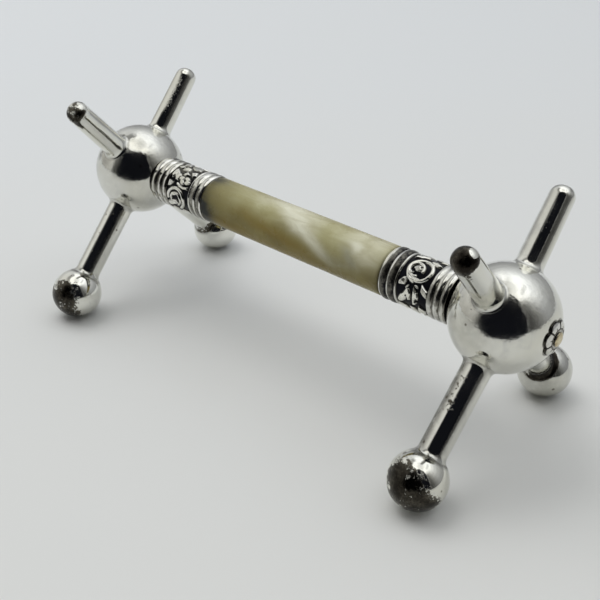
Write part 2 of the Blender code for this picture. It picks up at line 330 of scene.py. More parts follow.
def relief_material():
    """Embossed silver: black oxide in the sunk ground, dull patina on the reeds, bright rubbed tops, and
    painted highlights on the reeds.
    """
    n = Surface("oxidised_relief")
    height = n.attribute("relief")
    grain = n.noise(1900.0, 4.0, 0.65)
    shown = n.plus(height, n.times(n.minus(grain, 0.5), 0.42))
    patina = n.mix(n.noise(700.0), PATINA_DARK, PATINA_PALE)
    plate = n.mix(n.ramp(n.noise(500.0), 0.40, 0.66), RUBBED_PALE, RUBBED_DARK)
    colour = n.mix(n.ramp(shown, 0.16, 0.32), OXIDE, patina)
    colour = n.mix(n.ramp(shown, 0.48, 0.78), colour, plate)
    colour = n.mix(n.ramp(height, 1.05, 1.35), colour, RUBBED_BARE)
    roughness = n.plus(n.ramp(shown, 0.2, 0.8, 0.30, 0.10), n.ramp(grain, 0.35, 0.75, 0.0, 0.08))
    roughness = n.plus(roughness, n.ramp(height, 1.05, 1.35, 0.0, 0.34))
    return n.connect(colour, roughness, n.bump(grain, 0.22, 0.00004), Metallic=1.0)


NACRE_DARK, NACRE_PALE = (0.205, 0.168, 0.056), (0.292, 0.250, 0.095)
NACRE_VEIN = (0.62, 0.62, 0.50)
NACRE_TINTS = {
    "olive": (0.46, 0.44, 0.245),
    "gold": (0.250, 0.182, 0.040),
    "cream_and_sheen": (0.76, 0.75, 0.60),
    "grey": (0.34, 0.34, 0.28),
    "shade": (0.022, 0.024, 0.022),
}


def nacre_material():
    """Mother-of-pearl: soft clouds of colour placed by the mesh, the creamy ones partly a painted sheen,
    under fine layers and a polish.
    """
    n = Surface("mother_of_pearl")
    cloud = n.noise(110.0, 4.0, 0.5, 0.8, n.scaled((1.0, 2.0, 2.0)))
    colour = n.mix(n.ramp(cloud, 0.30, 0.70), NACRE_DARK, NACRE_PALE)
    layers = n.noise(520.0, 5.0, 0.6, 1.2, n.scaled((0.35, 1.0, 1.0), (0.0, 0.5, 0.35)))
    silk = n.times(n.minus(layers, 0.5), 1.4)
    wobble = n.plus(n.times(n.minus(cloud, 0.5), 0.5), n.plus(silk, 1.0))
    for name, tint in NACRE_TINTS.items():
        share = n.math("MINIMUM", n.times(n.attribute(name), wobble), 1.0)
        colour = n.mix(share, colour, tint)
    colour = n.mix(n.times(n.ramp(layers, 0.52, 0.72), 0.07), colour, NACRE_VEIN)
    roughness = n.ramp(n.noise(300.0), 0.3, 0.7, 0.22, 0.36)
    polish = {"Coat_Weight": 0.04, "Coat_Roughness": 0.14, "Specular_IOR_Level": 0.20}
    return n.connect(colour, roughness, n.bump(layers, 0.05, 0.00003), **polish)


def brass_material():
    n = Surface("brass")
    stain = n.noise(1300.0, 4.0, 0.6)
    colour = n.mix(n.ramp(stain, 0.35, 0.68), (0.70, 0.62, 0.43), (0.46, 0.38, 0.24))
    roughness = n.ramp(stain, 0.3, 0.7, 0.16, 0.34)
    return n.connect(colour, roughness, n.bump(stain, 0.2, 0.00004), Metallic=1.0)


def steel_material():
    n = Surface("rod_steel")
    drawn = n.noise(900.0, 3.0, 0.6, 0.0, n.scaled((0.05, 1.0, 1.0)))
    colour = n.mix(n.ramp(drawn, 0.3, 0.7), (0.42, 0.42, 0.42), (0.56, 0.55, 0.53))
    return n.connect(colour, n.ramp(drawn, 0.3, 0.7, 0.28, 0.45), n.bump(drawn, 0.2, 0.00003), Metallic=1.0)


def floor_material():
    """Matt paper, a little bluer towards the back left."""
    n = Surface("floor")
    place = n.add("ShaderNodeSeparateXYZ", {"Vector": n.coordinates}).outputs
    away = n.ramp(n.minus(place["Y"], place["X"]), -0.12, 0.30)
    wash = n.plus(away, n.times(n.minus(n.noise(9.0), 0.5), 0.5))
    wash = n.math("MINIMUM", n.math("MAXIMUM", wash, 0.0), 1.0)
    colour = n.mix(wash, (0.728, 0.734, 0.722), (0.722, 0.744, 0.765))
    return n.connect(colour, 0.6, n.bump(n.noise(900.0, 4.0), 0.04, 0.0001), Specular_IOR_Level=0.2)


def glow_material(name, colour, strength):
    made = bpy.data.materials.new(name)
    made.use_nodes = True
    n = Nodes(made.node_tree)
    n.tree.nodes.clear()
    glow = n.add("ShaderNodeEmission", {"Color": (*colour, 1.0), "Strength": strength})
    n.add("ShaderNodeOutputMaterial", {"Surface": glow.outputs[0]})
    return made


silver_ball = silver_material("silver_balls", 0.18, 0.50)
silver_arm = silver_material("silver_arms", 0.16)
relief = relief_material()
nacre = nacre_material()
brass = brass_material()
steel = steel_material()


# ---- balls

ROSETTE_RADIUS = 2.68
ROSETTE_DISH = 0.38
PETALS = 6
POLE_RADIUS = 1.5  # of the flat faced on a ball at each end of its bore
BORE_RADIUS = 0.9

# How strongly each end is soiled and worn, from 0 to 1; the stains at the back joints are partly painted
# shade.
WEAR = {
    "left": {"ball_darkening": 0.15, "foot_dirt": 0.0, "front_leg": 0.6, "back_leg_stain_and_shade": 0.55, "back_foot_stain_and_shade": 0.75},
    "right": {"ball_darkening": 0.0, "foot_dirt": 0.26, "front_leg": 1.0, "back_leg_stain_and_shade": 0.80, "back_foot_stain_and_shade": 1.0},
}
# Smudges on the balls: a direction out from the centre, a radius in millimetres and how dark.
SMUDGES = {
    "left": (
        ((-0.41, -0.79, 0.45), 1.0, 0.80),
        ((-0.12, -0.89, 0.45), 1.5, 0.42),
        ((-0.55, -0.80, 0.10), 2.6, 0.30),
    ),
    "right": (((-0.13, -0.96, 0.24), 3.4, 0.34), ((0.30, -0.62, -0.72), 2.4, 0.20)),
}


def petal_outline(degrees):
    """The rosette's radius at each angle about the axis, and how far the angle is from a petal's middle."""
    off_middle = np.abs(((degrees - 15) % (360 / PETALS)) / (180 / PETALS) - 1)
    return ROSETTE_RADIUS * (0.78 + 0.215 * np.clip(1 - off_middle**2.4, 0, 1) ** 0.5), off_middle


def leg_way(end, side):
    return unit(foot_place(end, side) - BALL_CENTRES[end])


def prong_way(side):
    return np.array([0.0, SIDES[side] * math.cos(PRONG_SLOPE), math.sin(PRONG_SLOPE)])


def round_arm(away, arm, ball_radius, low, high):
    """A patch on a ball round an arm that leaves it: 1 within low millimetres of the arm, 0 beyond high."""
    nearness = away @ arm
    off_axis = np.sqrt(np.clip(1 - nearness**2, 0, 1)) * ball_radius
    return (nearness > 0) * (1 - ease(low, high, off_axis))


def ball_darkening(end, points):
    """Grime and painted shade round the arms' joints, grime smeared by the front prong and in smudges, and
    painted crevice shade with grime just beyond the petals.
    """
    out = points - BALL_CENTRES[end]
    away = out / BALL_RADIUS
    dirt_and_shade = np.full(len(points), WEAR[end]["ball_darkening"])
    # a dark ring round each arm's joint: grime and painted shade
    for side in SIDES:
        for arm in (leg_way(end, side), prong_way(side)):
            dirt_and_shade = np.maximum(dirt_and_shade, 0.45 * round_arm(away, arm, BALL_RADIUS, 2.65, 3.05))
    patchy = ease(-0.1, 0.5, waves(points, 14 + ENDS[end], 2.2))
    smeared = round_arm(away, prong_way("front"), BALL_RADIUS, 3.0, 4.8)
    dirt_and_shade = np.maximum(dirt_and_shade, 0.32 * patchy * smeared)
    for way, size, darkness in SMUDGES[end]:
        gap = np.linalg.norm(out - BALL_RADIUS * unit(way), axis=1) * (1 + 0.35 * waves(points, 17, 1.4))
        dirt_and_shade = np.maximum(dirt_and_shade, darkness * bell(gap, 0, size))
    outline, _ = petal_outline(np.degrees(np.arctan2(out[:, 2], out[:, 1])))
    beyond = np.linalg.norm(out[:, 1:], axis=1) - outline
    # a dark ring just outside the petals: painted shade in the crevice under the rosette, with grime
    return np.maximum(dirt_and_shade, 0.9 * (out[:, 0] * ENDS[end] > 0) * (1 - ease(0.08, 0.26, beyond)))


def plated_ball(end):
    """A hollow ball's outside, slightly dented, with its two faced poles on the bar's axis."""
    steps, rings = 160, 130
    first = math.asin(POLE_RADIUS / BALL_RADIUS)
    share = np.linspace(0, 1, rings)
    share = share - 0.10 * np.sin(2 * math.pi * share)  # finer towards the poles
    polar = first + (math.pi - 2 * first) * share
    pole = math.sqrt(BALL_RADIUS**2 - POLE_RADIUS**2)
    eased = POLE_RADIUS * 0.97
    profile = [(BORE_RADIUS, pole), (eased, pole)]
    profile += [(BALL_RADIUS * math.sin(a), BALL_RADIUS * math.cos(a)) for a in polar]
    profile += [(eased, -pole), (BORE_RADIUS, -pole)]
    points, faces = lathe(profile, steps, BALL_CENTRES[end], (ENDS[end], 0, 0))
    out = points - BALL_CENTRES[end]
    dents = 0.034 * (waves(out, 3 + ENDS[end], 5.5) - 1) / 2
    dents += 0.010 * (waves(out, 9 + ENDS[end], 2.0, 9) - 1) / 2
    points = points + out / BALL_RADIUS * dents[:, None]
    attributes = {"tarnish_and_shade": np.zeros(len(points)), "dirt_and_shade": ball_darkening(end, points)}
    piece(f"plated_ball_{end}", points, faces, silver_ball, attributes, "silver_plate", *ball_halves(end))


# ---- prongs, legs and feet

# The side that the photograph shows, as a direction from the object.
VIEWED_FROM = np.array([0.56, -0.64, 0.52])
LEFT_EDGE = (-0.75, -0.66, 0.0)  # the edge of an arm at the left on that side
UNEVEN = 0.006  # of a rod's radius


def fillet(rod_radius, width, length, ball_radius):
    """A solder fillet between a ball and the rod on it, as (radius, height from the ball's centre)."""
    outer = rod_radius + width
    rim = math.sqrt(ball_radius**2 - outer**2)
    ends = np.array([(outer, rim), (rod_radius, rim + outer / rim * width), (rod_radius, rim + length)])
    t = np.linspace(0, 1, 12)[:, None]
    curve = (1 - t) ** 2 * ends[0] + 2 * t * (1 - t) * ends[1] + t * t * ends[2]
    inside_ball = [(outer - 0.02, rim - 0.25), (outer + 0.02, rim - 0.04)]
    return inside_ball + [tuple(place) for place in curve]


def facing(spoke, way):
    """How squarely the outside of a rod faces a way, from -1 to 1, at each offset from its middle line."""
    return spoke @ way / np.maximum(np.linalg.norm(spoke, axis=1), 0.1)


def silver_piece(name, node, points, faces, tarnish_and_shade, dirt_and_shade, **more):
    attributes = {"tarnish_and_shade": tarnish_and_shade, "dirt_and_shade": dirt_and_shade, **more}
    piece(name, points, faces, silver_arm, attributes, "silver_plate", node)


class Rod:
    """A rod turned from a profile. Each point has a height along it, an offset from its middle line (spoke)
    and a place across the side that shows, from -1 at the left edge to 1 at the right one."""

    def __init__(self, profile, end, direction, seed, even_to=0.0):
        centre = BALL_CENTRES[end]
        points, self.faces = lathe(profile, 56, centre, direction)
        self.height = (points - centre) @ direction
        self.spoke = points - centre - self.height[:, None] * direction
        right = np.cross(direction, VIEWED_FROM)
        self.across = facing(self.spoke, unit(right) * np.sign(right[0]))
        share = ease(even_to, even_to + 2.0, self.height) * waves(points, seed, 6.0)
        self.points = points + self.spoke * (UNEVEN * (share - 1))[:, None]


# How dark the brownish coating is at the left edge of each arm, and the painted reflection streak right of
# its middle.
EDGE_FILM = {"left": {"front": 0.40, "back": 0.28}, "right": {"front": 0.80, "back": 0.36}}
PAINTED_REFLECTION_STREAK = 0.62


def film_and_reflection(end, side, rod, streak=PAINTED_REFLECTION_STREAK):
    """A brownish coating on an arm, heavier at its left edge, and a soft painted reflection streak right of
    its middle.
    """
    edge = EDGE_FILM[end][side] * ease(0.42, 0.92, facing(rod.spoke, LEFT_EDGE))
    # painted reflection: a soft dark streak that softens the edge of the reflected dark core
    soft = streak * ease(0.10, 0.30, rod.across) * (1 - ease(0.32, 0.84, rod.across))
    return np.maximum(edge, soft)


# The tips of the two prongs at the front: the blackest place as a direction out of the dome, where a painted
# dark reflection lies over the tarnishing, where its edge starts, the thinnest and thickest tarnishing, how
# far it reaches down the under side in millimetres, how clean the clean spot is, how dark the streak down the
# lower left is, and how pitted the tip is.
TIP_WEAR_AND_REFLECTION = {
    "left": ((0.94, -0.31, -0.10), 0.66, 0.48, 0.78, 1.1, 0.45, 0.72, 1.5),
    "right": ((0.77, -0.58, 0.28), 0.30, 0.66, 1.0, 0.95, 1.0, 0.5, 0.25),
}
TIP_CLEAN = (0.58, 0.02, 0.81)
TIP_UNDER = (-0.35, -0.10, -0.90)
TIP_LOWER_LEFT = (-0.243, -0.729, -0.640)
# Fine pits along the two prongs at the back: how far across the arm, how wide and how strong.
PIT_STREAK = {"left": (-0.08, 0.18, 1.5), "right": (-0.30, 0.06, 0.9)}
SHOULDER = PRONG_LENGTH - PRONG_DOME


def tip_tarnish_and_reflection(end, rod):
    """Brown-black tarnishing on the tip of a prong at the front, round a clean spot, with a painted dark
    reflection at its blackest place.
    """
    black_way, black_edge, thin, thick, reach, cleaned, streaked, _ = TIP_WEAR_AND_REFLECTION[end]
    up = np.clip((rod.height - SHOULDER) / PRONG_DOME, 0, 1)
    out = rod.spoke / PRONG_TIP_RADIUS + up[:, None] * prong_way("front")
    out /= np.maximum(np.linalg.norm(out, axis=1), 0.01)[:, None]
    reach = reach * ease(-0.2, 1.0, rod.spoke @ TIP_UNDER / PRONG_TIP_RADIUS)
    worn = ease(SHOULDER - 0.5 - reach, SHOULDER + 0.5 - 0.6 * reach, rod.height)
    # the blackest part is a painted dark reflection over the tarnishing
    black = ease(black_edge, 0.88, out @ black_way)
    clean = cleaned * ease(0.86, 0.98, out @ TIP_CLEAN)
    lower_left = out @ TIP_LOWER_LEFT
    beside = ease(0.40, 0.60, lower_left) * (1 - ease(0.86, 0.98, lower_left))
    streak = streaked * beside * ease(SHOULDER - 4.2, SHOULDER - 0.8, rod.height)
    return np.maximum(worn * (thin + (thick - thin) * black) * (1 - 0.9 * clean), streak)


def prong(end, side):
    """A plain tapered peg with a low dome at its tip."""
    profile = fillet(PRONG_ROOT_RADIUS, ROOT_FLARE, 1.25, BALL_RADIUS)
    start = profile[-1][1]
    taper = np.linspace((PRONG_ROOT_RADIUS, start), (PRONG_TIP_RADIUS, SHOULDER), 26)
    profile += [tuple(place) for place in taper[1:]]
    for turn in np.linspace(0, math.pi / 2, 18)[1:-1]:
        profile.append((PRONG_TIP_RADIUS * math.cos(turn) ** 0.92, SHOULDER + PRONG_DOME * math.sin(turn)))
    profile.append((PIN, PRONG_LENGTH))
    rod = Rod(profile, end, prong_way(side), 20 + ENDS[end] + 3 * SIDES[side], start)
    # a dark ring at the root: grime and painted shade in the joint
    root_dirt_and_shade = 0.35 * ease(start - 0.7, start - 1.2, rod.height)
    if side == "front":
        tarnish_and_shade = tip_tarnish_and_reflection(end, rod)
        dirt_and_shade = film_and_reflection(end, side, rod, 0.0)
        pitted = TIP_WEAR_AND_REFLECTION[end][-1] * ease(SHOULDER - 0.6, SHOULDER, rod.height)
    else:
        tarnish_and_shade = 0.30 * ease(PRONG_LENGTH - 1.0, PRONG_LENGTH, rod.height)
        dirt_and_shade = film_and_reflection(end, side, rod) * ease(start - 0.4, start + 0.6, rod.height)
        place, width, strength = PIT_STREAK[end]
        pitted = strength * bell(rod.across, place, width) * ease(10.5, 12.5, rod.height)
        pitted *= ease(SHOULDER, SHOULDER - 1.5, rod.height)
    names = f"peg_{end}_{side}", f"prong_{end}_{side}"
    silver_piece(*names, rod.points, rod.faces, tarnish_and_shade, np.maximum(root_dirt_and_shade, dirt_and_shade), pitted=pitted)


LEG_LOWER_LEFT = (-0.226, -0.881, 0.312)
JOINT_OUTSIDE = (0.776, 0.192, -0.600)


def stained_and_shaded_side(spoke):
    """Where the joint of a back leg and its foot is stained and painted with shade: the lower outer side,
    fading round it.
    """
    return ease(-0.55, 0.25, facing(spoke, JOINT_OUTSIDE))


def leg(end, side):
    """A round rod with a solder fillet at the ball and at the foot."""
    reach = np.linalg.norm(foot_place(end, side) - BALL_CENTRES[end])
    foot_joint = reach - FOOT_RADIUS
    profile = fillet(LEG_RADIUS, ROOT_FLARE, 1.2, BALL_RADIUS)
    lower = [(radius, reach - height) for radius, height in fillet(LEG_RADIUS, ROOT_FLARE, 1.0, FOOT_RADIUS)]
    lower.reverse()
    profile += [(LEG_RADIUS, height) for height in np.linspace(profile[-1][1], lower[0][1], 24)[1:-1]]
    rod = Rod(profile + lower, end, leg_way(end, side), 40 + ENDS[end] + 3 * SIDES[side])
    if side == "front":
        down = (rod.height - 8) / (reach - 12)
        left = rod.spoke @ LEG_LOWER_LEFT / LEG_RADIUS
        worn = 0.57 * ease(0.50, 0.92, left) * bell(down, 0.45, 0.16)
        stain = 0.45 * ease(0.45, 0.95, left) * bell(down, 0.20, 0.16)
        tarnish_and_shade = np.maximum(worn, stain) * WEAR[end]["front_leg"]
    else:
        # a stain with painted shade at the joint with the foot, on its lower outer side
        tarnish_and_shade = ease(foot_joint - 0.6, foot_joint, rod.height) * stained_and_shaded_side(rod.spoke) ** 3
        tarnish_and_shade *= WEAR[end]["back_leg_stain_and_shade"]
    # dark rings by the ball and by the foot: grime and painted shade in the joints
    by_ball = ease(8.6, 7.9, rod.height)
    by_foot = ease(foot_joint - 0.4, foot_joint + 0.4, rod.height)
    dirt_and_shade = np.maximum(0.35 * np.maximum(by_ball, by_foot), film_and_reflection(end, side, rod))
    silver_piece(f"rod_leg_{end}_{side}", f"leg_{end}_{side}", rod.points, rod.faces, tarnish_and_shade, dirt_and_shade)


FOOT_FLAT = 0.9  # radius of the flat worn under each foot
# Middles of the worn places on the two front feet, as directions from the foot's centre.
FOOT_WEAR = {
    "left": ((0.18, -0.96, 0.19), (0.06, -0.89, -0.45)),
    "right": ((-0.02, -0.93, 0.36), (-0.16, -0.86, 0.48), (0.16, -0.98, -0.10), (0.50, -0.83, -0.28)),
}


def foot(end, side):
    """A solid ball foot with its worn flat, heavy tarnishing on the front of the two front feet, and a stain
    with painted shade at the joint of the two back feet.
    """
    steps, rings = 96, 72
    last = math.pi - math.asin(FOOT_FLAT / FOOT_RADIUS)
    profile = [(PIN, FOOT_RADIUS)]
    polar = np.linspace(0, last, rings)[1:]
    profile += [(FOOT_RADIUS * math.sin(a), FOOT_RADIUS * math.cos(a)) for a in polar]
    centre = foot_place(end, side)
    points, faces = lathe(profile, steps, centre, (0, 0, 1))
    away = points - centre
    away /= np.linalg.norm(away, axis=1)[:, None]
    dents = 0.010 * (waves(points, 60 + ENDS[end] + 3 * SIDES[side], 3.5) - 1)
    points = points + away * (dents * ease(-0.97, -0.90, away[:, 2]))[:, None]
    inward = -leg_way(end, side)
    # a dark ring round the leg's joint: grime and painted shade in the crevice
    dirt_and_shade = 0.8 * round_arm(away, inward, FOOT_RADIUS, 2.75, 3.40)
    if side == "front":
        nearest = np.max([away @ unit(heart) for heart in FOOT_WEAR[end]], axis=0)
        tarnish_and_shade = 0.76 * ease(0.34, 1.04, nearest + 0.10 * waves(points, 70 + ENDS[end], 2.6))
    else:
        spoke = (away - (away @ inward)[:, None] * inward) * FOOT_RADIUS
        # a stain with painted shade round the leg's joint, on the lower outer side
        stained = round_arm(away, inward, FOOT_RADIUS, 2.60, 3.35) * stained_and_shaded_side(spoke)
        tarnish_and_shade = np.maximum(0.35 * ease(-0.6, -0.95, away[:, 2]), stained * WEAR[end]["back_foot_stain_and_shade"])
        dirt_and_shade = np.maximum(dirt_and_shade, WEAR[end]["foot_dirt"])
    silver_piece(f"ball_foot_{end}_{side}", f"foot_{end}_{side}", points, faces, tarnish_and_shade, dirt_and_shade)


# ---- ferrules

# Grooves between the reeds, by the bar and by the ball, and the bright lines, rubbed and painted as
# highlights, all as distances along the bar.
REEDS = {
    "left": ((18.75, 20.1, 21.6, 21.95), (27.4, 28.7, 30.1, 31.55)),
    "right": ((19.6, 21.0, 22.5, 22.9), (28.35, 29.4, 30.5, 31.55)),
}
RUBBED_AND_HIGHLIGHT_LINES = {
    "left": (18.95, 20.35, 21.65, 27.95, 29.2, 30.75),
    "right": (19.9, 21.35, 22.8, 28.5, 29.85, 31.15),
}
REED_CREST = 4.22
REED_GROOVE = 3.96
BAND_GROUND = 3.84
BAND_RELIEF = 0.34
THIN_REED = 0.6  # a reed narrower than this stands less high
SLEEVE_EDGE, SLEEVE_MOUTH = 3.75, 3.45  # radii
SLEEVE_END = 2.2, 31.0  # radius and place along the bar, inside the ball
REPEATS = 2  # of the embossed work round a ferrule
MM_PER_DEGREE = 0.0712  # round a ferrule


# The embossed work of each ferrule. A place on it is two numbers: degrees round and millimetres along. A leaf
# is a height and its corners' places in order, and a crisp leaf has sharper edges. An oval is a place, its
# length, width, angle and height. A hoop is a place, radius, width, height, the two angles of its gap and, if
# it isn't round, how much wider it grows and from what angle. A pit is a place, radius and depth.
ROSE_OVER_LEAVES = {
    "leaf": (
        (0.95, -20, 23.2, -6, 23.7, 2, 24.3, 14, 24.7, 15, 25.2, 5, 25.65, -11, 25.6, -14, 25.15, -6,
         24.95, -15, 24.75, -24, 24.1, -27, 23.5),
        (0.95, 22, 25.9, 15, 26.3, 12, 26.8, 2, 27, -5, 26.9, -3, 26.5, -12, 26.8, -20, 26.4, -22,
         25.95, 0, 25.9), (1, 33, 27.05, 26, 27.7, 21, 28.3, 6, 28.3, 11, 27.6, 17, 27.15),
        (0.95, -17, 27.1, -28, 28.2, -42, 28, -44, 26.9, -30, 26.7),
        (1, 84, 26.7, 93, 26.1, 97, 27.2, 90, 28.3, 83, 27.8),
        (0.95, 88, 23.4, 92, 24.3, 104, 25.1, 106, 24.3, 98, 23.3),
        (0.9, -30, 23.2, -34, 24.6, -46, 25.2, -56, 24.2, -48, 23.1),
        (0.9, -28, 25.3, -30, 26.2, -50, 26.9, -62, 26.4, -50, 25.4),
        (0.9, -56, 27, -50, 28.2, -66, 28.2, -72, 27.1),
        (0.9, -66, 23.3, -62, 24.9, -78, 25.6, -84, 23.9),
    ),
    "crisp_leaf": (
        (0.95, 16, 23.3, 24, 23.2, 35, 23.8, 38, 24.4, 28, 24.6, 19, 24.3),
    ),
    "oval": (
        (62, 25.35, 1.7, 1.1, 10, 0.9), (50, 24.6, 1.3, 0.7, 60, 0.9), (38, 25.7, 1.9, 0.42, 8, 0.9),
        (18, 24.85, 0.8, 0.35, 55, 0.85), (24, 26.35, 0.9, 0.35, -25, 0.85),
    ),
    "hoop": (
        (60, 25.8, 1.75, 0.34, 1, 0, 0, 0.25, 265), (59, 25.1, 1.15, 0.3, 0.95, 300, 345),
    ),
    "pit": (
        (55, 24.75, 0.36, 0.95), (51, 25.85, 0.42, 0.95), (66, 25.75, 0.24, 0.8), (27, 23.95, 0.33, 0.75),
        (-9, 26.55, 0.27, 0.95), (13, 26.55, 0.22, 0.9), (-2, 24.85, 0.16, 0.8),
    ),
}
BUD_AND_FLOWER = {
    "leaf": (
        (0.9, -8, 24.7, -16, 24.4, -32, 26.5, -34, 27.2, -20, 27.2, -11, 25.9),
        (1, 38, 25.1, 34, 24.3, 32, 23.4, 34, 22.45, 28, 22.4, 25, 23.4, 28, 24.5, 33, 25.2),
        (0.95, 44, 25.9, 57, 26.6, 62, 25.4, 56, 24.95, 43, 25.2),
        (0.95, 60, 25.5, 74, 26.8, 66, 27.1, 52, 27.2, 46, 26.8, 54, 26.3),
        (0.95, 62, 24.9, 73, 24.3, 66, 23.5, 58, 24.2), (0.95, 75, 23.6, 63, 22.7, 69, 22.2, 82, 22.5),
        (1, 74, 25.9, 89, 25.4, 87, 24.4, 76, 24.3), (0.9, 80, 27.2, 92, 26.7, 86, 26, 78, 26.4),
        (0.9, 92, 22.6, 88, 23.8, 98, 25, 110, 24.4, 106, 22.8),
        (0.9, 98, 25.6, 94, 26.8, 108, 27.2, 118, 26),
        (0.9, -38, 22.6, -34, 24, -50, 24.9, -62, 23.7, -54, 22.4),
        (0.9, -40, 25.2, -38, 26.6, -56, 27.2, -66, 26, -54, 25.3),
        (0.8, 35, 26, 38, 27.2, 22, 27.2, 24, 26.6),
    ),
    "oval": (
        (7, 25.45, 1.35, 0.66, 0, 1), (-28, 24, 1.6, 0.5, -35, 0.85), (51, 24.5, 1.35, 0.86, -12, 1),
        (53, 23.25, 1.35, 0.86, 15, 1), (44, 22.95, 1.35, 0.86, -20, 1),
        (42, 24.1, 1.35, 0.86, 35, 1),
    ),
    "hoop": (
        (-5, 25.05, 1.92, 0.36, 0.95, 243, 348), (-6, 25.05, 1.15, 0.26, 0.9, 250, 330),
    ),
    "pit": (
        (47.5, 23.8, 0.2, 0.9),
    ),
}
WORK = {"right": ROSE_OVER_LEAVES, "left": BUD_AND_FLOWER}
LEAF_GROWTH = {"right": 0.05, "left": 0.10}


class Band:
    """All the raised work of one end, on a sheet of (degrees round, millimetres along)."""

    def __init__(self, end, turn, along):
        self.turn, self.along, self.grow = turn, along, LEAF_GROWTH[end]
        self.height = np.zeros(turn.shape)
        for kind, rows in WORK[end].items():
            for row in rows:
                getattr(self, kind)(*row)

    def local(self, degrees, along):
        """(round, along) from a point, in millimetres, wrapped to the nearest repeat."""
        period = 360.0 / REPEATS
        gap = (self.turn - degrees + period / 2) % period - period / 2
        return np.radians(gap) * BAR_RADIUS, self.along - along

    def raise_to(self, shape, height):
        self.height = np.maximum(self.height, shape * height)

    def hoop(self, degrees, along, radius, width, height, gap_start, gap_end, growth=0.0, start=0.0):
        x, y = self.local(degrees, along)
        bearing = np.degrees(np.arctan2(x, y))
        middle = radius + growth * ((bearing - start) % 360) / 360
        shape = np.clip(1 - ((np.hypot(x, y) - middle) / width) ** 2, 0, 1) ** 0.5
        self.raise_to(shape * ~((bearing % 360 > gap_start) & (bearing % 360 < gap_end)), height)

    def oval(self, degrees, along, length, width, angle, height):
        """A pointed oval, its length turned by angle from the bar's direction towards the ferrule's top."""
        x, y = self.local(degrees, along)
        a = math.radians(angle)
        lengthwise = (y * math.cos(a) + x * math.sin(a)) / (length / 2)
        crosswise = (x * math.cos(a) - y * math.sin(a)) / (width / 2)
        body = 1 - np.abs(lengthwise) ** 1.7 - np.abs(crosswise) ** 1.8
        self.raise_to(np.clip(body * 2.4, 0, 1) ** 0.6, height)

    def leaf(self, height, *places, soft=0.24):
        corners = np.reshape(places, (-1, 2))
        middle_turn, middle_along = np.mean(corners, axis=0)
        x, y = self.local(middle_turn, middle_along)
        outline = [(math.radians(t - middle_turn) * BAR_RADIUS, a - middle_along) for t, a in corners]
        nearest = np.full(x.shape, 9.0)
        inside = np.zeros(x.shape, bool)
        for (x0, y0), (x1, y1) in zip(outline, outline[1:] + outline[:1]):
            edge_x, edge_y = x1 - x0, y1 - y0
            share = ((x - x0) * edge_x + (y - y0) * edge_y) / (edge_x**2 + edge_y**2)
            share = np.clip(share, 0, 1)
            nearest = np.minimum(nearest, np.hypot(x - x0 - share * edge_x, y - y0 - share * edge_y))
            if edge_y:
                crossing = (y0 > y) != (y1 > y)
                inside ^= crossing & (x < x0 + (y - y0) * edge_x / edge_y)
        depth = np.where(inside, nearest, -nearest) + self.grow
        self.raise_to(np.clip(depth / soft, 0, 1) ** 0.6, height)

    def crisp_leaf(self, height, *places):
        self.leaf(height, *places, soft=0.16)

    def pit(self, degrees, along, radius, depth):
        off = np.hypot(*self.local(degrees, along))
        self.height = self.height * (1 - depth * (1 - ease(0.55 * radius, radius, off)))


def reed_radius(along, grooves):
    """Radius of rounded reeds between grooves, and how far each place is up its reed, from 0 to 1."""
    radius = np.full(along.shape, REED_GROOVE)
    raised = np.zeros(along.shape)
    for low, high in zip(grooves, grooves[1:]):
        inside = (along >= low) & (along <= high)
        share = np.clip((along - low) / (high - low), 0, 1)
        bulge = np.clip(1 - (2 * share - 1) ** 2, 0, 1) ** 0.62
        crest = REED_CREST if high - low > THIN_REED else REED_CREST - 0.10
        radius = np.where(inside, REED_GROOVE + (crest - REED_GROOVE) * bulge, radius)
        raised = np.where(inside, bulge, raised)
    return radius, raised


def reed_shine(end, turn, along, by_ball, raised):
    """How bright the reeds are: bright lines, rubbed and painted as highlights, over dull silver painted
    lighter above and below.
    """
    # painted light: the reeds are lighter above and below, where they face the lamp and the floor
    upper = ease(30.0, 60.0, turn) * (1 - ease(85.0, 110.0, turn))
    lower = ease(14.0, -12.0, turn) * ease(-80.0, -50.0, turn)
    lines = np.zeros(along.shape)
    for number, line in enumerate(RUBBED_AND_HIGHLIGHT_LINES[end]):
        # the first line on the right ferrule is painted as a wide bare highlight on its upper part
        worn = upper * (number == 0 and end == "right")
        width = 0.19 + 0.08 * upper + 0.16 * worn
        lines = np.maximum(lines, (1 + 0.7 * worn) * bell(along, line, width))
    clean = np.where(by_ball, 0.34 * np.maximum(upper, 0.45 * lower), 0.34 * upper * (end == "left"))
    dull = np.where(by_ball | (end == "left"), 0.40 + 0.14 * raised, 0.19 + 0.07 * raised) + clean
    # the lines are painted brighter where the reeds face the light
    bright = lines if end == "left" else lines * (0.62 + 0.38 * np.maximum(ease(30, 50, turn), lower))
    return np.maximum(dull, bright) * ease(0.0, 0.3, raised + lines)


def ring_at(end, radius, along, radians):
    across = [-radius * np.cos(radians), AXIS_HEIGHT + radius * np.sin(radians)]
    return np.stack([np.full(radians.shape, ENDS[end] * along), *across], -1)


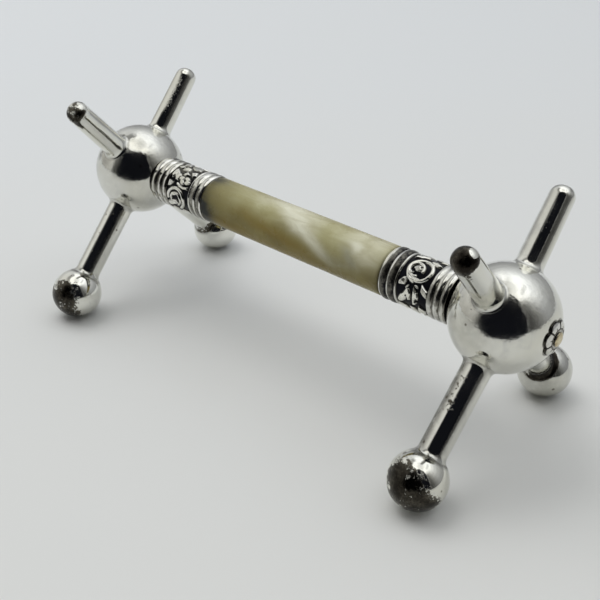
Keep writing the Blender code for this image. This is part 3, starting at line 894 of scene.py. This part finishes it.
def ferrule(end):
    """A silver sleeve: three reeds by the ball, an embossed band, a thin ridge and two reeds by the bar."""
    bar_reeds, ball_reeds = REEDS[end]
    steps, stations = 400, 230
    degrees = np.linspace(-180, 180, steps, endpoint=False)
    turn, along = np.meshgrid(degrees, np.linspace(bar_reeds[0], ball_reeds[-1], stations))
    low, high = bar_reeds[-1], ball_reeds[0]
    inside = (along > low) & (along < high)
    rough = waves(np.stack([turn * MM_PER_DEGREE, along, 0 * along], -1), 90, 0.8, 8)

    work = Band(end, turn, along).height
    share = np.clip((along - low) / (high - low), 0, 1)
    barrel = 0.06 * (1 - (2 * share - 1) ** 2)
    band = BAND_GROUND + barrel + BAND_RELIEF * work * (1 + 0.10 * rough)
    bar_side, bar_raised = reed_radius(along, bar_reeds)
    ball_side, ball_raised = reed_radius(along, ball_reeds)
    reeded = np.where(along <= low, bar_side, ball_side) + 0.008 * rough
    radius = np.where(inside, band, reeded)

    raised = np.where(along <= low, bar_raised, ball_raised)
    # The ground of the left band is paler towards the top.
    ground = 0.0 if end == "right" else 0.10 + 0.12 * ease(40, 70, turn)
    rubbed = np.maximum(work * 1.25, ground + work)
    shown = np.where(inside, rubbed, reed_shine(end, turn, along, along > low, raised))

    circle = np.radians(degrees)
    rims = [(SLEEVE_MOUTH, bar_reeds[0] + 0.9), (SLEEVE_EDGE, bar_reeds[0]), *zip(radius, along[:, 0])]
    rims += [(SLEEVE_EDGE, ball_reeds[-1]), (SLEEVE_MOUTH, ball_reeds[-1] - 0.1), SLEEVE_END]
    rings = [ring_at(end, rim, place, circle) for rim, place in rims]
    shown = np.concatenate([np.full((2, steps), 0.2), shown, np.full((3, steps), 0.1)])
    faces = tube_faces(len(rings), steps)
    if end == "left":
        faces = turned_over(faces)
    attributes = {"relief": shown}
    name = f"embossed_ferrule_{end}"
    piece(name, np.concatenate(rings), faces, relief, attributes, "oxidised_relief", f"ferrule_{end}")


# ---- bar

BAR_UNEVEN = 0.003  # of its radius
# Soft clouds of each tint on the bar: (along, degrees round from the front, half length, half width in
# degrees, lean in degrees for each millimetre along, strength).
CLOUDS = {
    "olive": (
        (-12, 80, 6, 40, 0, 0.5), (-4.5, 68, 6, 34, 0, 0.85), (6.5, 72, 5, 42, -4, 0.85),
        (12, 70, 4, 42, 0, 0.8), (18, 66, 3, 46, 0, 0.6), (-9, 165, 6, 40, 3, 0.6),
        (8, 180, 5, 40, 4, 0.7),
    ),
    "gold": (
        (-12.5, -20, 5.5, 18, 0, 0.8), (-4, 14, 5.5, 16, -2, 0.75), (2.5, 2, 5, 16, -2, 0.75),
        (0, -30, 12, 16, 0, 0.55), (-5, -44, 11, 20, 0, 0.6), (3, 250, 8, 30, 0, 0.6),
    ),
    "grey": (
        (13.8, 28, 2, 14, -5, 0.55), (11.5, 6, 3.5, 14, 0, 0.26),
    ),
    # Creamy figure of the pearl, with a painted sheen in the bright streaks along the top.
    "cream_and_sheen": (
        (0.2, 86, 3.4, 30, -4, 0.84), (-4.5, 92, 4.5, 22, 0, 0.45), (2.3, 63, 2.3, 14, -7.5, 0.98),
        (0.6, 58, 3.2, 14, -4, 0.42), (2.6, 42, 2.2, 14, -5, 0.34), (4.3, 46, 2.1, 14, -7.5, 0.78),
        (6.1, 31, 1.9, 12, -7.5, 0.62), (8, 14, 2.4, 14, -7, 0.42), (2.4, 82, 3, 24, 0, 0.38),
        (5.4, 70, 2, 30, 0, 0.26), (6.5, 24, 3.2, 16, -6, 0.2), (14, 53, 1.6, 13, -3, 0.92),
        (13, 80, 2.8, 24, 0, 0.5), (17, 85, 2.4, 26, 0, 0.62), (17, 40, 2.1, 24, 0, 0.48),
        (-3, 205, 4.5, 18, 6, 0.6), (11, 150, 3, 20, 7, 0.65),
    ),
    "shade": (
        (-18.4, -10, 3.2, 36, 0, 0.98), (-18.8, -4, 2.2, 34, 0, 0.9), (-18.4, 86, 2.8, 28, 0, 0.72),
        (-18.7, 36, 1.5, 50, 0, 0.5), (19.8, -8, 1.6, 44, 0, 0.45), (-18.6, -20, 2.6, 40, 0, 0.4),
        (-13.5, 62, 4.5, 40, 0, 0.09),
    ),
}


def cloud_cover(points, tint):
    """How strongly each point of the bar takes a tint, with edges drawn out unevenly."""
    along = points[:, 0] + 0.8 * waves(points, 31, 6.0)
    turn = np.degrees(np.arctan2(points[:, 2] - AXIS_HEIGHT, -points[:, 1])) + 9 * waves(points, 32, 5.0)
    cover = np.zeros(len(points))
    for place, degrees, half_length, half_width, lean, strength in CLOUDS[tint]:
        round_gap = (turn - degrees - lean * (along - place) + 180) % 360 - 180
        cloud = strength * bell(along, place, half_length) * bell(round_gap, 0, half_width)
        cover = 1 - (1 - cover) * (1 - cloud)
    return cover


def pearl_bar():
    """The turned bar of mother-of-pearl, very slightly uneven, with eased ends inside the ferrules."""
    left, right = -REEDS["left"][0][0] - 0.8, REEDS["right"][0][0] + 0.8
    neck, rim, edge = BAR_RADIUS - 0.65, BAR_RADIUS - 0.60, BAR_RADIUS - 0.06
    profile = [(neck, left), (rim, left + 0.85), (edge, left + 0.9)]
    profile += [(BAR_RADIUS, x) for x in np.linspace(left + 1.3, right - 1.3, 200)]
    profile += [(edge, right - 0.9), (rim, right - 0.85), (neck, right)]
    points, faces = lathe(profile, 180, (0, 0, AXIS_HEIGHT), (1, 0, 0))
    spoke = points * [0, 1, 1] - [0, 0, AXIS_HEIGHT]
    points = points + spoke * (BAR_UNEVEN * (waves(points, 5, 14.0) - 1))[:, None]
    clouds = {tint: cloud_cover(points, tint) for tint in NACRE_TINTS}
    piece("pearl_bar", points, faces, nacre, clouds, "mother_of_pearl", "handle_bar")


# ---- rosettes and nuts

NUT_RADIUS = 1.1
WASHER_HOLE = 0.78
WASHER_UNDERSIDE = -0.34
COLLAR_EDGE = 1.5  # radius at which the petals start


def outward_span(node):
    """Where a CAD node starts and ends along the bar, as distances outwards from the bar's middle."""
    low, high = box_mm(node)
    return sorted((abs(low[0]), abs(high[0])))


def dished(radius):
    """How far out a place on the rosette's petals is, from 0 to 1."""
    return np.clip((radius - COLLAR_EDGE) / (ROSETTE_RADIUS - COLLAR_EDGE), 0, 1)


def rosette(end):
    """Six rounded petals in relief round a raised collar, outlined in black oxide."""
    _, top = outward_span(f"rosette_{end}")
    steps, rings = 216, 48
    degrees = np.linspace(0, 360, steps, endpoint=False)
    rim, petal = petal_outline(degrees)
    rows, shown = [], []
    for share in np.linspace(0, 1, rings):
        radius = WASHER_HOLE + (rim - WASHER_HOLE) * share
        out = dished(radius)
        collar = 0.62 * np.clip(1 - ((radius - 1.22) / 0.30) ** 2, 0, 1) ** 0.4
        beside = 0.85 * (1 - petal) * radius * math.pi / PETALS
        nearest = np.minimum(np.minimum(beside, rim - radius), 0.8 * (radius - COLLAR_EDGE))
        vein = bell(petal * radius * math.pi / PETALS, 0, 0.10) * (radius < 1.95)
        height = np.maximum(collar, 0.74 * ease(0.0, 0.17, nearest) * (1 - 0.5 * vein))
        rows.append((radius, -0.10 + 0.10 * height - ROSETTE_DISH * out**1.3 - 0.12 * out**3))
        shown.append(height)
    rows.append((rim * 0.985, WASHER_UNDERSIDE - ROSETTE_DISH * dished(rim) ** 1.3))
    rows.append((WASHER_HOLE * np.ones(steps), WASHER_UNDERSIDE * np.ones(steps)))
    shown += [np.full(steps, 0.80)] * 2
    radii, heights = np.array(rows).transpose(1, 0, 2)
    y, z = radii * np.cos(np.radians(degrees)), AXIS_HEIGHT + radii * np.sin(np.radians(degrees))
    points = np.stack([ENDS[end] * (top + heights), y, z], -1).reshape(-1, 3)
    faces = tube_faces(len(rows), steps, capped=False)
    last = (len(rows) - 1) * steps
    faces += [(last + i, last + (i + 1) % steps, (i + 1) % steps, i) for i in range(steps)]
    if end == "right":
        faces = turned_over(faces)
    attributes = {"relief": np.concatenate(shown)}
    piece(f"flower_washer_{end}", points, faces, relief, attributes, "silver_plate", f"rosette_{end}")


def end_nut(end):
    """The low domed brass nut that closes the tie rod, with a shallow slot across it."""
    inner, outer = outward_span(f"end_nut_{end}")
    tall = outer - inner
    profile = [(NUT_RADIUS * 0.92, inner), (NUT_RADIUS * 0.985, inner + 0.06 * tall)]
    for turn in np.linspace(0.25, math.pi / 2, 14):
        profile.append((NUT_RADIUS * math.cos(turn) ** 0.7 + 0.01, inner + tall * math.sin(turn) ** 1.3))
    points, faces = lathe(profile, 48, (0, 0, AXIS_HEIGHT), (ENDS[end], 0, 0))
    on_top = np.abs(points[:, 0]) > inner + 0.6 * tall
    slot = ease(0.15, 0.0, np.abs(points[:, 2] - AXIS_HEIGHT)) * on_top
    points[:, 0] -= ENDS[end] * 0.03 * slot
    piece(f"brass_nut_{end}", points, faces, brass, {}, "brass", f"end_nut_{end}")


for end_name in ENDS:
    plated_ball(end_name)
    ferrule(end_name)
    rosette(end_name)
    end_nut(end_name)
    for side_name in SIDES:
        prong(end_name, side_name)
        leg(end_name, side_name)
        foot(end_name, side_name)
pearl_bar()

tie_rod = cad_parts["tie_rod"]
tie_rod.data.materials.clear()
tie_rod.data.materials.append(steel)


# ---- floor, light and camera


def card(name, columns, material):
    """A standing card that lights nothing: columns, each a bottom and a top point in millimetres."""
    points = [point for column in columns for point in column]
    faces = [(2 * i, 2 * i + 2, 2 * i + 3, 2 * i + 1) for i in range(len(columns) - 1)]
    made = make_object(name, points, faces, material)
    made.visible_diffuse = False
    made.visible_shadow = False
    return made


FLOOR_HALF = 3000
corners = [(x * FLOOR_HALF, y * FLOOR_HALF, 0) for x, y in ((-1, -1), (1, -1), (1, 1), (-1, 1))]
floor = make_object("floor", corners, [(0, 1, 2, 3)], floor_material())

BACKDROP_RADIUS, BACKDROP_HEIGHT = 2900, 3000
walls = []
for bearing in np.linspace(0, 2 * math.pi, 49):
    x, y = BACKDROP_RADIUS * math.cos(bearing), BACKDROP_RADIUS * math.sin(bearing)
    walls.append(((x, y, 0), (x, y, BACKDROP_HEIGHT)))
card("backdrop", walls, glow_material("pale_wall", (0.97, 0.985, 1.0), 0.60)).visible_glossy = False

# What the balls reflect as a dark shape, and its pale edge.
DARK_COLUMNS = [
    ((-125, -406, 0), (-125, -406, 800)),
    ((-39, -300, 0), (-39, -300, 640)),
    ((30, -108, 0), (20, -150, 420)),
    ((76, -101, 0), (70, -60, 300)),
    ((108, -83, 0), (109, -59, 323)),
    ((232, -52, 23), (232, -52, 472)),
]
EDGE_COLUMNS = [((233, -51, 20), (233, -51, 400)), ((235, -45, 20), (235, -45, 400))]
card("dark_flag", DARK_COLUMNS, glow_material("dark_cloth", (0.30, 0.33, 0.45), 0.02)).visible_camera = False
card("flag_edge", EDGE_COLUMNS, glow_material("pale_edge", (1.0, 1.0, 1.0), 0.30)).visible_camera = False

SOFTBOX_PLACE, SOFTBOX_AIM = Vector((-480, -40, 850)), Vector((0.0, 0.0, 20.0))
SOFTBOX_SIDE = 600 * MM
SOFTBOX_GLOW = 2.6
softbox = bpy.data.lights.new("overhead_softbox", "AREA")
softbox.shape = "SQUARE"
softbox.size = SOFTBOX_SIDE
softbox.energy = SOFTBOX_GLOW * SOFTBOX_SIDE**2 * math.pi
softbox.color = (1.0, 0.995, 0.985)
lamp = new_object("overhead_softbox", softbox)
lamp.location = SOFTBOX_PLACE * MM
lamp.rotation_mode = "QUATERNION"
lamp.rotation_quaternion = (SOFTBOX_AIM - SOFTBOX_PLACE).to_track_quat("-Z", "Y")
lamp.visible_glossy = False

# Brightness of the room by degrees above the horizon: behind and right of the object, and to its left.
ROOM_BEHIND = [(-90, 0.40), (0, 0.32), (10, 0.36), (25, 0.50), (37, 0.72), (47, 1.00), (56, 1.35), (70, 1.40),
               (78, 1.05), (90, 0.92)]
ROOM_LEFT = [(-90, 0.50), (0, 0.54), (15, 0.60), (30, 0.78), (46, 0.74), (55, 0.34), (63, 0.30), (69, 1.35),
             (77, 1.35), (90, 0.92)]
BRIGHTEST = 1.4


def studio_world():
    """A soft room: a bright band of light high up, paler walls below, and a dim side at the front right."""
    made = bpy.data.worlds.new("studio")
    made.use_nodes = True
    n = Nodes(made.node_tree)
    background = n.tree.nodes["Background"]

    def brightness(height, points):
        node = n.add("ShaderNodeValToRGB", {0: n.math("DIVIDE", n.plus(height, 90.0), 180.0)})
        node.color_ramp.interpolation = "EASE"
        elements = node.color_ramp.elements
        while len(elements) < len(points):
            elements.new(0.5)
        for element, (degrees, level) in zip(elements, points):
            element.position = (degrees + 90) / 180
            element.color = (*[level / BRIGHTEST] * 3, 1.0)
        return n.times(node.outputs[0], BRIGHTEST)

    def between(value, low, full, full_end, high):
        """1 from full to full_end, fading to 0 at low and at high."""
        return n.times(n.ramp(value, low, full), n.ramp(value, full_end, high, 1.0, 0.0))

    def darkened(level, where, share):
        return n.times(level, n.minus(1.0, n.times(where, share)))

    way = n.add("ShaderNodeTexCoord").outputs["Generated"]
    split = n.add("ShaderNodeSeparateXYZ", {0: way}).outputs
    height = n.math("DEGREES", n.math("ARCSINE", split["Z"]))
    bearing = n.math("DEGREES", n.math("ARCTAN2", split["X"], n.times(split["Y"], -1.0)))
    to_left = between(bearing, -130.0, -112.0, 10.0, 60.0)
    behind = n.times(brightness(height, ROOM_BEHIND), n.minus(1.0, to_left))
    level = n.plus(behind, n.times(brightness(height, ROOM_LEFT), to_left))
    low_down = n.ramp(height, 48.0, 66.0, 1.0, 0.0)
    level = darkened(level, n.times(between(bearing, -36.0, -22.0, 80.0, 132.0), low_down), 0.86)
    tilt = n.plus(height, n.times(bearing, 0.12))
    window_bar = n.times(between(bearing, 104.0, 118.0, 146.0, 166.0), between(tilt, 74.0, 78.0, 80.0, 84.0))
    n.put(background.inputs["Strength"], darkened(level, window_bar, 0.35))
    blue = n.ramp(split["Y"], -0.3, 0.7)
    n.put(background.inputs["Color"], n.mix(blue, (1.0, 1.0, 0.965), (0.965, 0.99, 1.02)))
    return made


bpy.context.scene.world = studio_world()
bpy.context.scene.view_settings.view_transform = "Standard"

CAMERA_PLACE = (0.093003, -0.105693, 0.095889)
CAMERA_RIGHT = Vector((0.7512129, 0.66004141, 0.00495183))
CAMERA_BACK = Vector((0.56186462, -0.64337597, 0.51997645))
CAMERA_LENS = 57.877

camera_data = bpy.data.cameras.new("camera")
camera_data.lens = CAMERA_LENS
camera_data.sensor_width = 36.0
camera_data.clip_start = 0.001
camera_data.clip_end = 20.0
camera = new_object("camera", camera_data)
camera_up = CAMERA_BACK.cross(CAMERA_RIGHT).normalized()
camera_right = camera_up.cross(CAMERA_BACK).normalized()
turned_axes = Matrix((camera_right, camera_up, CAMERA_BACK.normalized()))
camera.matrix_world = Matrix.Translation(CAMERA_PLACE) @ turned_axes.transposed().to_4x4()
bpy.context.scene.camera = camera
